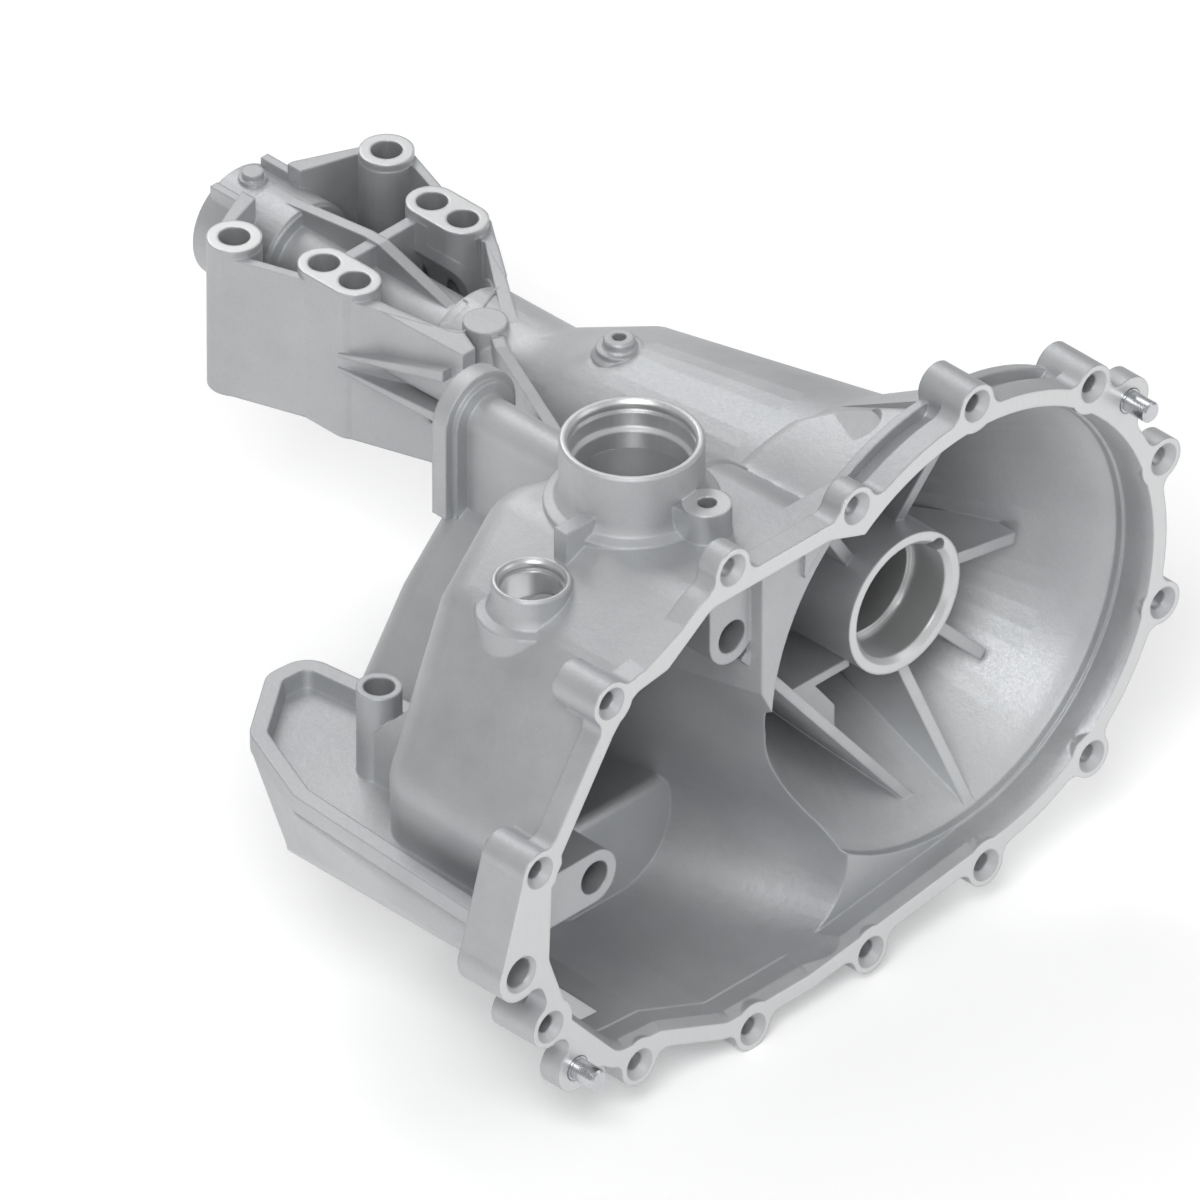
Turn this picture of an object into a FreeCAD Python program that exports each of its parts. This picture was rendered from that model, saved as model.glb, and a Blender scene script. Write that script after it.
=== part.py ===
"""Gearbox housing: one aluminium casting with two steel dowel pins.

The frame: the origin is the centre of the round motor opening, on the machined mating face.
X points out of the mating face, so the casting lies behind it at negative X. Z is up.
"""
import FreeCAD, Part
import os
import re

import Sketcher

Vector = FreeCAD.Vector
doc = FreeCAD.newDocument("gearbox_housing")

# Driving sizes, in millimetres and degrees, by area of the casting.
SIZES = {
    "mating face": {
        "mouth_radius": 117.5,
        "mouth_setback": 2.7,
        "corner_round": 12,
        "band_width": 8.4,
        "band_blend": 7,
        "flange_depth": 12,
        "mouth_depth": 16,
        "relief_depth": 5.5,
        "boss_radius": 10.9,
        "boss_depth": 27,
        "skin": 5.2,
        "screw_hole_radius": 4.5,
        "countersink_radius": 8.2,
        "large_hole_radius": 7.4,
        "large_countersink_radius": 9.5,
        "large_boss_radius": 14,
        "tie_rib_start": 21,
        "tie_rib_thickness": 4.5,
        "tie_rib_radius": 127,
    },
    "dowel pins": {
        "pin_radius": 5.25,
        "pin_root_radius": 6,
        "pin_length": 28,
        "pin_stand_out": 14,
        "pin_chamfer": 1,
        "pin_boss_radius": 12,
        "pin_mouth_radius": 6.6,
    },
    "drum and tunnel": {
        "drum_wall_depth": 20,
        "drum_wall_slope": 1.5,
        "cone_start_depth": 28,
        "cone_start_radius": 106,
        "cone_end_depth": 99,
        "cone_end_radius": 66,
        "cone_wall": 6.5,
        "dish_floor_depth": 107,
        "tunnel_front_depth": 97,
        "tunnel_front_radius": 79.7,
        "tunnel_middle_depth": 170,
        "tunnel_middle_radius": 66,
        "tunnel_rear_depth": 229,
        "tunnel_rear_radius": 55.7,
        "neck_start_depth": 275,
        "neck_radius": 34.5,
        "tail_step_depth": 425,
        "tail_radius": 28,
        "tail_depth": 477,
        "tail_edge": 1,
        "tunnel_wall": 6,
        "tunnel_floor_depth": 118,
    },
    "hub": {
        "hub_mouth_depth": 43.4,
        "hub_radius": 35.8,
        "hub_bore_radius": 28.5,
        "hub_seat_depth": 24,
        "hub_shoulder": 2.5,
        "hub_chamfer": 2.7,
        "hub_notch_radius": 5,
        "hub_rib_thickness": 6,
        "hub_rib_top_depth": 58,
        "hub_web_z": -26,
        "hub_web_depth": 57,
        "hub_web_thickness": 5,
        "long_rib_thickness": 5,
        "long_rib_start_y": -124.5,
        "long_rib_start_z": 43.5,
        "long_rib_start_depth": 22,
        "long_rib_end_y": -2,
        "long_rib_end_z": -105,
        "long_rib_end_depth": 36,
    },
    "shoulder body": {
        "shoulder_depth": 142,
        "shoulder_draft": 1.7,
        "shoulder_corner": 30,
        "shoulder_edge_round": 23,
        "shoulder_right_round": 18,
        "shoulder_right": -10,
        "shoulder_foot_right": -62,
        "shoulder_bend_y": -165,
        "shoulder_left_turn": 16.6,
        "shoulder_right_turn": -22,
        "chamber_step_depth": 102,
        "chamber_depth": 136,
        "chamber_draft": 1.5,
        "chamber_shelf_z": -78,
        "chamber_shelf_round": 5,
        "chamber_deep_left": -172,
        "chamber_deep_top": 50,
        "chamber_wall_top_y": -114,
        "chamber_wall_bend_z": 22,
        "chamber_wall_slope": 0.503,
        "chamber_wall_lean": 18,
        "chamber_corner": 34,
    },
    "inner lugs": {
        "lug_radius": 14,
        "lug_hole_radius": 8.5,
        "lug_depth": 22,
        "lug_length": 44,
        "side_lug_y": -221,
        "side_lug_z": -31,
        "roof_lug_y": -133,
        "roof_lug_z": 58.6,
    },
    "top bores": {
        "breather_x": -84,
        "breather_y": -135,
        "breather_top": 139,
        "breather_floor": 72,
        "breather_radius": 33.4,
        "breather_seat_radius": 30.5,
        "breather_bore_radius": 27,
        "breather_collar": 26,
        "sensor_x": -78.7,
        "sensor_y": -204.5,
        "sensor_top": 98,
        "sensor_radius": 18.6,
        "sensor_bore_radius": 14.5,
        "sensor_collar": 16,
        "collar_flare": 7,
        "clamp_x": -41,
        "clamp_y": -130,
        "clamp_top": 122,
        "clamp_radius": 11.5,
        "clamp_hole_radius": 4.45,
        "nipple_x": -220,
        "nipple_y": -7,
        "nipple_top": 64,
        "nipple_radius": 10.85,
        "nipple_neck_radius": 7.5,
        "nipple_hole_radius": 3.3,
        "gusset_top": 115,
        "gusset_thickness": 8,
    },
    "shift rail boss": {
        "rail_y": -124,
        "rail_z": 92,
        "rail_radius": 11.7,
        "rail_end_depth": 192,
        "rail_plate_radius": 22.3,
        "rail_plate_thickness": 9,
        "rail_plate_foot": 45,
    },
    "sump": {
        "sump_lip_z": -17,
        "sump_lip_height": 9,
        "sump_tray_depth": 9,
        "sump_tray_rim": 8,
        "lip_round": 14,
        "sump_round": 20,
        "belly_draft": 14,
        "belly_height": 92,
        "belly_high_y": -282,
        "belly_high_z": -50,
        "belly_low_y": -252,
        "belly_low_z": -84,
        "belly_floor_y": -224,
        "sump_wall": 5.5,
        "sump_rear_depth": 205,
        "rear_wall": 7,
        "filler_x": -146,
        "filler_y": -235,
        "filler_top": 20,
        "filler_radius": 10.6,
        "filler_hole_radius": 7.3,
        "filler_hole_depth": 20,
        "hook_y": -240,
        "hook_thickness": 8,
    },
    "tail mount": {
        "pad_z": 38.5,
        "box_floor_z": -42,
        "single_pad_x": -427.3,
        "single_pad_y": 49.2,
        "double_pad_rear_x": -383.3,
        "double_pad_front_x": -363.3,
        "double_pad_y": 34.9,
        "pad_hole_radius": 7.4,
        "single_boss_radius": 12.9,
        "double_boss_radius": 12.2,
        "box_wall": 5,
        "box_rim_drop": 4,
        "box_pocket_floor_z": -20,
        "spine_half_thickness": 3,
        "spine_x": -384.7,
        "disc_x": -300.4,
        "disc_y": -13.2,
        "disc_z": 36.5,
        "disc_radius": 10.35,
    },
}

# Screw holes of the mating face: name, Y, Z, and whether its boss runs deep behind the face.
SCREWS = {
    "crown": (2.4, 129.7, True),
    "upper": (78, 103, True),
    "side_upper": (123.7, 40, False),
    "side_lower": (123.7, -40, False),
    "lower": (78, -103, False),
    "floor_right": (9.5, -129.5, False),
    "floor_middle": (-65, -140.4, False),
    "floor_left": (-141, -145, False),
    "sump_front": (-214, -127.6, False),
    "sump_corner": (-271, -77.8, True),
    "block_upper": (-277.6, 11.2, True),
    "shoulder_left": (-232, 82, True),
    "shoulder_middle": (-154.5, 117, True),
    "shoulder_right": (-75, 111.5, True),
}
LARGE_SCREW = (-289.6, -39.2)
PINS = {
    "upper": (101.4, 83.7),
    "lower": (-253.8, -109.4),
}

# Corners of the mouth of the gear chamber on the mating face, as Y and Z, clockwise from below.
MOUTH = {
    "floor_right": (15.7, -116.4),
    "floor_middle": (-105, -133.4),
    "floor_left": (-157, -133.4),
    "step_right": (-200, -116),
    "step_left": (-228, -114),
    "sump_low": (-258, -80),
    "sump_high": (-272, -40),
    "side": (-270, 5),
    "slope_top": (-231, 64),
    "ledge_left": (-217, 80),
    "ledge_right": (-196, 83),
    "roof_left": (-168, 102.5),
    "roof_right": (-92, 102.5),
}

# Corners of the shoulder body behind the face, as Y and Z. Its right side is shoulder_right.
SHOULDER = {
    "floor_middle": (-105, -138),
    "floor_left": (-165, -136),
    "sump_low": (-234, -103),
    "sump_high": (-272, -56),
    "side": (-275, 10),
    "slope_top": (-222, 84),
    "roof_left": (-172, 107),
}

# Corners of the sump lip seen from above, as X and Y.
LIP = {
    "front": (-10, -294),
    "side": (-150, -286),
    "rear_side": (-199, -266),
    "rear": (-226, -228),
    "rear_inner": (-224, -204),
    "inner": (-10, -180),
}

# Section of the rear lower body, as Y and Z, drawn right round.
REAR_BODY = {
    "top_right": (-20, 58),
    "top_left": (-140, 52),
    "side_high": (-172, 20),
    "side_low": (-206, -30),
    "floor_left": (-200, -100),
    "floor_right": (-80, -100),
    "keel": (-20, -50),
}

PLANES = {
    "face": FreeCAD.Rotation(Vector(0, 1, 0), Vector(0, 0, 1), Vector(1, 0, 0), "XYZ"),
    "plan": FreeCAD.Rotation(),
    "side": FreeCAD.Rotation(Vector(1, 0, 0), Vector(0, 0, 1), Vector(0, -1, 0), "XYZ"),
}
PLANE_AXIS = {"face": "x", "plan": "z", "side": "y"}
TURNS = {
    "up": FreeCAD.Rotation(),
    "down": FreeCAD.Rotation(Vector(1, 0, 0), 180),
    "front": FreeCAD.Rotation(Vector(0, 1, 0), 90),
    "back": FreeCAD.Rotation(Vector(0, 1, 0), -90),
}

sheet = doc.addObject("Spreadsheet::Sheet", "Sizes")
notes = doc.addObject("Spreadsheet::Sheet", "Notes")
aliases = set()


def put(name, value, row):
    """Write one size into the sheet under its name."""
    sheet.set(f"A{row}", name)
    sheet.set(f"B{row}", str(value))
    sheet.setAlias(f"B{row}", name)
    aliases.add(name)


def fill_sheet():
    """Write every driving size, hole and corner into the sheet."""
    entries = {}
    for group in SIZES.values():
        entries.update(group)
    for name, (y, z, _) in SCREWS.items():
        entries[f"screw_{name}_y"] = y
        entries[f"screw_{name}_z"] = z
    entries["screw_large_y"], entries["screw_large_z"] = LARGE_SCREW
    for name, (y, z) in PINS.items():
        entries[f"pin_{name}_y"] = y
        entries[f"pin_{name}_z"] = z
    for title, corners in (("mouth", MOUTH), ("shoulder", SHOULDER), ("rear", REAR_BODY)):
        for name, (y, z) in corners.items():
            entries[f"{title}_{name}_y"] = y
            entries[f"{title}_{name}_z"] = z
    for name, (x, y) in LIP.items():
        entries[f"lip_{name}_x"] = x
        entries[f"lip_{name}_y"] = y
    for row, (name, value) in enumerate(entries.items(), start=1):
        put(name, value, row)
    doc.recompute()


def formula(text):
    """Turn a formula in size names into one that reads the sheet."""
    return re.sub(r"[a-z_][a-z_0-9]*", lambda m: f"Sizes.{m[0]}" if m[0] in aliases else m[0], str(text))


def read(text):
    """Work out a formula in size names as a number."""
    notes.set("A1", f"={formula(text)}")
    notes.recompute()
    return float(notes.get("A1"))


def bind(feature, **formulas):
    """Bind properties of a feature to formulas; a double underscore stands for a dot."""
    for path, text in formulas.items():
        feature.setExpression(path.replace("__", "."), formula(text))
    return feature


def place(feature, at, rotation):
    """Give a feature its turn and bind its position."""
    feature.Placement = FreeCAD.Placement(Vector(), rotation)
    x, y, z = at
    return bind(feature, Placement__Base__x=x, Placement__Base__y=y, Placement__Base__z=z)


def sketch(name, plane, level, points):
    """Closed outline through points given as pairs of formulas, on a plane at a level."""
    outline = doc.addObject("Sketcher::SketchObject", name)
    corners = [Vector(read(a), read(b), 0) for a, b in points]
    count = len(corners)
    for i in range(count):
        outline.addGeometry(Part.LineSegment(corners[i], corners[(i + 1) % count]), False)
    for i in range(count):
        outline.addConstraint(Sketcher.Constraint("Coincident", i, 2, (i + 1) % count, 1))
    for i, (a, b) in enumerate(points):
        across = outline.addConstraint(Sketcher.Constraint("DistanceX", -1, 1, i, 1, corners[i].x))
        outline.setExpression(f"Constraints[{across}]", formula(a))
        along = outline.addConstraint(Sketcher.Constraint("DistanceY", -1, 1, i, 1, corners[i].y))
        outline.setExpression(f"Constraints[{along}]", formula(b))
    at = {"x": "0", "y": "0", "z": "0"}
    at[PLANE_AXIS[plane]] = level
    return place(outline, (at["x"], at["y"], at["z"]), PLANES[plane])


def offset(name, source, amount):
    """Outline moved outward, or inward for a negative amount, with round corners."""
    grown = doc.addObject("Part::Offset2D", name)
    grown.Source = source
    grown.Join = 0
    return bind(grown, Value=amount)


def rounded(name, source, radius):
    """Outline with its outward corners rounded."""
    inner = offset(f"{name}_inner", source, f"-({radius})")
    return offset(name, inner, radius)


def blended(name, source, radius):
    """Outline with its inward corners rounded."""
    outer = offset(f"{name}_outer", source, radius)
    return offset(name, outer, f"-({radius})")


def extrusion(name, profile, direction, length, taper="0"):
    """Solid made by pushing an outline along a direction."""
    solid = doc.addObject("Part::Extrusion", name)
    solid.Base = profile
    solid.DirMode = "Custom"
    solid.Dir = direction
    solid.Solid = True
    return bind(solid, LengthFwd=length, TaperAngle=taper)


BACK = Vector(-1, 0, 0)
FRONT = Vector(1, 0, 0)
UP = Vector(0, 0, 1)
DOWN = Vector(0, 0, -1)
RIGHT = Vector(0, 1, 0)


def cylinder(name, radius, height, at, turn):
    solid = doc.addObject("Part::Cylinder", name)
    bind(solid, Radius=radius, Height=height)
    return place(solid, at, TURNS[turn])


def cone(name, start_radius, end_radius, height, at, turn):
    solid = doc.addObject("Part::Cone", name)
    bind(solid, Radius1=start_radius, Radius2=end_radius, Height=height)
    return place(solid, at, TURNS[turn])


def box(name, at, size):
    solid = doc.addObject("Part::Box", name)
    length, width, height = size
    bind(solid, Length=length, Width=width, Height=height)
    return place(solid, at, FreeCAD.Rotation())


def revolution(name, points):
    """Solid of a profile of depth and radius turned about the tunnel axis."""
    profile = sketch(f"{name}_profile", "side", "0", points)
    solid = doc.addObject("Part::Revolution", name)
    solid.Source = profile
    solid.Axis = FRONT
    solid.Base = Vector()
    solid.Angle = 360
    solid.Solid = True
    return solid


def turned_up(name, x, y, points):
    """Solid of a profile of radius and height turned about a vertical axis."""
    profile = sketch(f"{name}_profile", "side", "0", points)
    solid = doc.addObject("Part::Revolution", name)
    solid.Source = profile
    solid.Axis = UP
    solid.Base = Vector()
    solid.Angle = 360
    solid.Solid = True
    return bind(solid, Placement__Base__x=x, Placement__Base__y=y)


def joined(name, parts):
    whole = doc.addObject("Part::MultiFuse", name)
    whole.Shapes = parts
    whole.Refine = True
    return whole


def cut(name, base, tool):
    rest = doc.addObject("Part::Cut", name)
    rest.Base = base
    rest.Tool = tool
    return rest


def shared(name, first, second):
    overlap = doc.addObject("Part::Common", name)
    overlap.Base = first
    overlap.Tool = second
    return overlap


def disc(name, radius, y, z):
    """Circle on the mating face."""
    ring = doc.addObject("Part::Circle", name)
    bind(ring, Radius=radius)
    return place(ring, ("0", y, z), PLANES["face"])


def united(name, outlines, blend):
    """One outline round several overlapping ones on the mating face, inward corners rounded."""
    doc.recompute()
    plates = [Part.Face(Part.Wire(outline.Shape.Edges)).extrude(FRONT) for outline in outlines]
    whole = plates[0].multiFuse(plates[1:]).removeSplitter()
    front = max(whole.Faces, key=lambda face: (face.CenterOfMass.x, face.Area))
    outline = Part.Face(front.OuterWire)
    outline.translate(BACK)
    radius = read(blend)
    soft = outline.makeOffset2D(radius).makeOffset2D(-radius)
    feature = doc.addObject("Part::Feature", name)
    feature.Shape = soft
    return feature


def corner_points(title, corners):
    return [(f"{title}_{name}_y", f"{title}_{name}_z") for name in corners]


def mouth_parts(name, grow):
    """The two overlapping outlines of the chamber mouth, grown by an amount."""
    points = corner_points("mouth", MOUTH) + [("-mouth_radius * 0.3", "mouth_radius * 0.7")]
    corners = sketch(f"{name}_corners", "face", "0", points)
    soft = rounded(f"{name}_soft", corners, "corner_round")
    grown = offset(f"{name}_grown", soft, grow)
    return [grown, disc(f"{name}_drum", f"mouth_radius + ({grow})", "0", "0")]


def screw_pads(name, names):
    """Circles of the bosses at the named screws, and at the large one."""
    pads = [disc(f"{name}_{screw}", "boss_radius", f"screw_{screw}_y", f"screw_{screw}_z") for screw in names]
    pads.append(disc(f"{name}_large", "large_boss_radius", "screw_large_y", "screw_large_z"))
    return pads


def block_web(name):
    """Outline that fills the side block between its two screws and the wall."""
    return sketch(name, "face", "0", [
        ("screw_block_upper_y - boss_radius + 0.1", "screw_block_upper_z + 1"),
        ("screw_large_y - large_boss_radius + 0.1", "screw_large_z + 1"),
        ("screw_large_y + 1", "screw_large_z - large_boss_radius + 0.1"),
        ("mouth_sump_high_y + 6", "mouth_sump_high_z - 8"),
        ("mouth_side_y + 3", "mouth_side_z + 12"),
    ])


def flange():
    """Mating flange: a band round the mouth with a boss at each screw and pin."""
    outlines = mouth_parts("flange_band", "band_width") + screw_pads("flange_pad", SCREWS)
    outlines.append(block_web("flange_block_web"))
    for name in PINS:
        outlines.append(disc(f"flange_pin_{name}", "pin_boss_radius", f"pin_{name}_y", f"pin_{name}_z"))
    outline = united("flange_outline", outlines, "band_blend")
    return extrusion("flange_plate", outline, BACK, "flange_depth")


def bosses():
    """Screw bosses that run on behind the flange, blended into the wall."""
    deep = [name for name, (_, _, is_deep) in SCREWS.items() if is_deep]
    outlines = mouth_parts("boss_band", "skin - mouth_setback") + screw_pads("boss", deep)
    outlines.append(block_web("boss_block_web"))
    outlines.append(disc("boss_pin", "pin_boss_radius", "pin_lower_y", "pin_lower_z"))
    outline = united("boss_outline", outlines, "band_blend")
    return extrusion("boss_block", outline, BACK, "boss_depth")


def tie_rib():
    """Rib behind the flange that ties the upper bosses together and leaves a groove before it."""
    ring = cylinder("tie_ring", "tie_rib_radius", "tie_rib_thickness",
                    ("-tie_rib_start - tie_rib_thickness", "0", "0"), "front")
    sector = sketch("tie_sector_outline", "face", "0", [
        ("0", "0"),
        ("screw_shoulder_right_y * 1.2", "screw_shoulder_right_z * 1.2"),
        ("0", "screw_crown_z * 1.3"),
        ("screw_upper_y * 1.2", "screw_upper_z * 1.2"),
    ])
    reach = extrusion("tie_sector", sector, BACK, "tie_rib_start + 2 * tie_rib_thickness")
    return shared("tie_rib", ring, reach)


def drum_and_tunnel():
    """Outer form turned about the shaft: drum, cone, tunnel, neck and tail."""
    return revolution("drum_skin", [
        ("0", "0"),
        ("0", "mouth_radius - mouth_setback + skin"),
        ("-drum_wall_depth - cone_wall", "mouth_radius - mouth_setback - drum_wall_slope + skin"),
        ("-cone_start_depth - 1.5 * cone_wall", "cone_start_radius + cone_wall"),
        ("-tunnel_front_depth", "tunnel_front_radius"),
        ("-tunnel_rear_depth", "tunnel_rear_radius"),
        ("-neck_start_depth", "neck_radius"),
        ("-tail_step_depth", "neck_radius - 2"),
        ("-tail_step_depth - 5", "tail_radius"),
        ("-tail_depth + tail_edge", "tail_radius"),
        ("-tail_depth", "tail_radius - tail_edge"),
        ("-tail_depth", "0"),
    ])


def drum_hollow():
    """Motor space in front of the conical wall, with a flat floor round the hub."""
    return revolution("drum_hollow", [
        ("1", "0"),
        ("1", "mouth_radius - mouth_setback"),
        ("-drum_wall_depth", "mouth_radius - mouth_setback - drum_wall_slope"),
        ("-drum_wall_depth * 0.6 - cone_start_depth * 0.4", "cone_start_radius + 4.5"),
        ("-cone_start_depth", "cone_start_radius"),
        ("-cone_end_depth", "cone_end_radius"),
        ("-dish_floor_depth", "cone_end_radius - 10"),
        ("-dish_floor_depth", "0"),
    ])


def tunnel_hollow():
    """Shaft space from the hub to the closed tail."""
    return revolution("tunnel_hollow", [
        ("-tunnel_floor_depth", "0"),
        ("-tunnel_floor_depth", "tunnel_middle_radius - tunnel_wall"),
        ("-tunnel_middle_depth", "tunnel_middle_radius - tunnel_wall"),
        ("-tunnel_middle_depth", "tunnel_rear_radius - tunnel_wall"),
        ("-tunnel_rear_depth", "tunnel_rear_radius - tunnel_wall"),
        ("-tunnel_rear_depth", "neck_radius - tunnel_wall"),
        ("-tail_step_depth", "neck_radius - tunnel_wall"),
        ("-tail_step_depth", "tail_radius - tunnel_wall"),
        ("-tail_depth + tunnel_wall", "tail_radius - tunnel_wall"),
        ("-tail_depth + tunnel_wall", "0"),
    ])


def rear_hollow():
    """Gear space in the lower body behind the chamber."""
    corners = sketch("rear_hollow_corners", "face", "-chamber_depth + 1", [
        ("-tunnel_front_radius", "rear_top_left_z - rear_wall"),
        ("rear_top_left_y + rear_wall", "rear_top_left_z - rear_wall"),
        ("rear_side_high_y + rear_wall", "rear_side_high_z - rear_wall * 0.5"),
        ("chamber_deep_left", "chamber_shelf_z * 0.5"),
        ("chamber_deep_left", "chamber_shelf_z"),
        ("-tunnel_front_radius", "chamber_shelf_z"),
    ])
    return extrusion("rear_hollow", rounded("rear_hollow_soft", corners, "sump_round * 0.5"), BACK,
                     "sump_rear_depth - chamber_depth - 2 * rear_wall")


def shoulder_body():
    """Gear chamber body beside the drum, drafted, with a rear wall that turns forward at both sides."""
    points = [("shoulder_foot_right", "shoulder_floor_middle_z + 20")] + corner_points("shoulder", SHOULDER)
    points.append(("shoulder_right", "shoulder_roof_left_z"))
    points.append(("shoulder_right", "0"))
    corners = sketch("shoulder_corners", "face", "0", points)
    soft = rounded("shoulder_soft", corners, "shoulder_corner")
    block = extrusion("shoulder_block", soft, BACK, "shoulder_depth + 60", "-shoulder_draft")
    straight = cut_behind("shoulder_straight", block, "0", "shoulder_edge_round")
    left = cut_behind("shoulder_left", block, "shoulder_left_turn", "shoulder_edge_round")
    right = cut_behind("shoulder_right", block, "shoulder_right_turn", "shoulder_right_round")
    return shared("shoulder_body", shared("shoulder_two_sided", straight, left), right)


def cut_behind(name, block, turn, radius):
    """The block up to a rear plane through the bend, turned by an angle, with its edge rounded all round."""
    far = "300"
    behind = sketch(f"{name}_outline", "plan", "-200", [
        (f"-shoulder_depth - {far}", f"shoulder_bend_y - {far}"),
        (f"-shoulder_depth + {far} * tan({turn})", f"shoulder_bend_y - {far}"),
        (f"-shoulder_depth - {far} * tan({turn})", f"shoulder_bend_y + {far}"),
        (f"-shoulder_depth - {far}", f"shoulder_bend_y + {far}"),
    ])
    waste = extrusion(f"{name}_waste", behind, UP, "400")
    return smoothed(f"{name}_round", cut(f"{name}_rest", block, waste), radius, is_rear_face)


def is_rear_face(face):
    """True for a flat face that looks backward."""
    return face.Surface.TypeId == "Part::GeomPlane" and face.normalAt(0, 0).x < -0.9


def smoothed(name, source, radius, chosen):
    """Round every edge of the chosen faces."""
    doc.recompute()
    smooth = doc.addObject("Part::Fillet", name)
    smooth.Base = source
    edges = source.Shape.Edges
    numbers = set()
    for face in filter(chosen, source.Shape.Faces):
        for edge in face.Edges:
            numbers.add(next(i for i, other in enumerate(edges, start=1) if other.isSame(edge)))
    size = read(radius)
    smooth.Edges = [(number, size, size) for number in sorted(numbers)]
    return smooth


def chamber_hollow():
    """Gear space inside the shoulder body: full height in front of a solid step, deeper above it."""
    points = corner_points("mouth", MOUTH)
    points[0] = ("0", "mouth_floor_middle_z")
    points[-1] = ("0", "mouth_roof_left_z")
    corners = sketch("chamber_corners", "face", "1", points)
    soft = rounded("chamber_soft", corners, "corner_round")
    inner = offset("chamber_inner", soft, "-mouth_setback")
    room = extrusion("chamber_room", inner, BACK, "chamber_depth + 1", "-chamber_draft")
    return shared("chamber_hollow", shared("chamber_space", room, chamber_wall()), chamber_reach())


def chamber_wall():
    """Everything left of the leaning wall that parts the gear space from the drum."""
    floor = "mouth_floor_middle_z + mouth_setback"
    top_y = "chamber_wall_top_y"
    bend_z = "chamber_wall_bend_z"
    corners = sketch("chamber_wall_corners", "face", "1", [
        (top_y, "mouth_roof_left_z + 100"),
        (top_y, bend_z),
        (f"{top_y} + ({bend_z} - ({floor})) * chamber_wall_slope", floor),
        ("mouth_sump_high_y - 100", floor),
        ("mouth_sump_high_y - 100", "mouth_roof_left_z + 100"),
    ])
    wall = extrusion("chamber_wall", rounded("chamber_wall_soft", corners, "chamber_corner"), BACK,
                     "chamber_depth + 40")
    return bind(wall, Dir__y="-tan(chamber_wall_lean)", Dir__z="tan(chamber_draft)")


def chamber_reach():
    """How far back the gear space goes: to the step's face, and over its rounded shelf."""
    shelf = sketch("shelf_corners", "side", "chamber_deep_left", [
        ("5", "mouth_floor_middle_z - 60"),
        ("-chamber_step_depth", "mouth_floor_middle_z - 60"),
        ("-chamber_step_depth", "chamber_shelf_z"),
        ("-chamber_depth - 5", "chamber_shelf_z"),
        ("-chamber_depth - 5", "chamber_deep_top"),
        ("-chamber_step_depth", "chamber_deep_top"),
        ("-chamber_step_depth", "mouth_roof_left_z + 20"),
        ("5", "mouth_roof_left_z + 20"),
    ])
    deep = extrusion("chamber_deep", blended("shelf_soft", shelf, "chamber_shelf_round"), RIGHT,
                     "-chamber_deep_left")
    full = box("chamber_front", ("-chamber_step_depth", "mouth_sump_high_y - 20",
                                 "mouth_floor_middle_z - 60"),
               ("chamber_step_depth + 5", "20 - mouth_sump_high_y", "300"))
    return joined("chamber_reach", [deep, full])


def mouth_hollow():
    """Shallow space behind the whole mouth, where drum and gear space join."""
    outline = united("mouth_hollow_outline", mouth_parts("mouth_hollow", "-mouth_setback"), "band_blend")
    return extrusion("mouth_hollow", outline, BACK, "mouth_depth")


def rear_body():
    """Lower body that runs further back, under the shift rail."""
    corners = sketch("rear_corners", "face", "-60", corner_points("rear", REAR_BODY))
    soft = rounded("rear_soft", corners, "sump_round")
    block = extrusion("rear_block", soft, BACK, "sump_rear_depth - 60", "-shoulder_draft")
    return smoothed("rear_body", block, "sump_round * 0.8", is_rear_face)


def lip_outline(name, level):
    """Outline of the sump lip seen from above."""
    corners = sketch(f"{name}_corners", "plan", level, [(f"lip_{c}_x", f"lip_{c}_y") for c in LIP])
    return rounded(f"{name}_outline", corners, "lip_round")


def sump_body():
    """Belly of the sump under the lip: the lip outline carried down inside the belly section."""
    column = extrusion("belly_column", lip_outline("belly", "sump_lip_z - sump_lip_height + 1"), DOWN,
                       "belly_height", "-belly_draft")
    section = sketch("belly_section_corners", "face", "-2", [
        ("lip_front_y - 10", "sump_lip_z"),
        ("lip_front_y - 10", "belly_high_z"),
        ("belly_high_y", "belly_high_z"),
        ("belly_low_y", "belly_low_z"),
        ("belly_floor_y", "mouth_step_left_z + 4"),
        ("lip_inner_y + 10", "mouth_step_left_z + 4"),
        ("lip_inner_y + 10", "sump_lip_z"),
    ])
    run = extrusion("belly_run", rounded("belly_section", section, "sump_round"), BACK, "240")
    return shared("sump_belly", column, run)


def sump_lip():
    """Flat lip round the top of the belly."""
    return extrusion("sump_lip", lip_outline("lip", "sump_lip_z"), DOWN, "sump_lip_height")


def sump_tray():
    """Recess in the top of the sump, inside the lip."""
    inner = offset("tray_inner", lip_outline("tray", "sump_lip_z + 1"), "-sump_tray_rim")
    return extrusion("sump_tray", inner, DOWN, "sump_tray_depth + 1", "-8")


def sump_hollow():
    """Oil space of the sump behind the gear chamber."""
    top = "sump_lip_z - sump_tray_depth - sump_wall - 6"
    section = sketch("sump_hollow_corners", "face", "-chamber_step_depth + 2", [
        ("chamber_deep_left - 13", "mouth_step_left_z + 6"),
        ("chamber_deep_left - 13", top),
        ("mouth_sump_high_y + 16", top),
        ("mouth_sump_high_y + 16", "-65"),
        ("mouth_sump_low_y + 16", "-90"),
        ("mouth_step_left_y + 10", "mouth_step_left_z + 6"),
    ])
    return extrusion("sump_hollow", rounded("sump_hollow_soft", section, "9"), BACK, "74", "-3")


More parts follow.
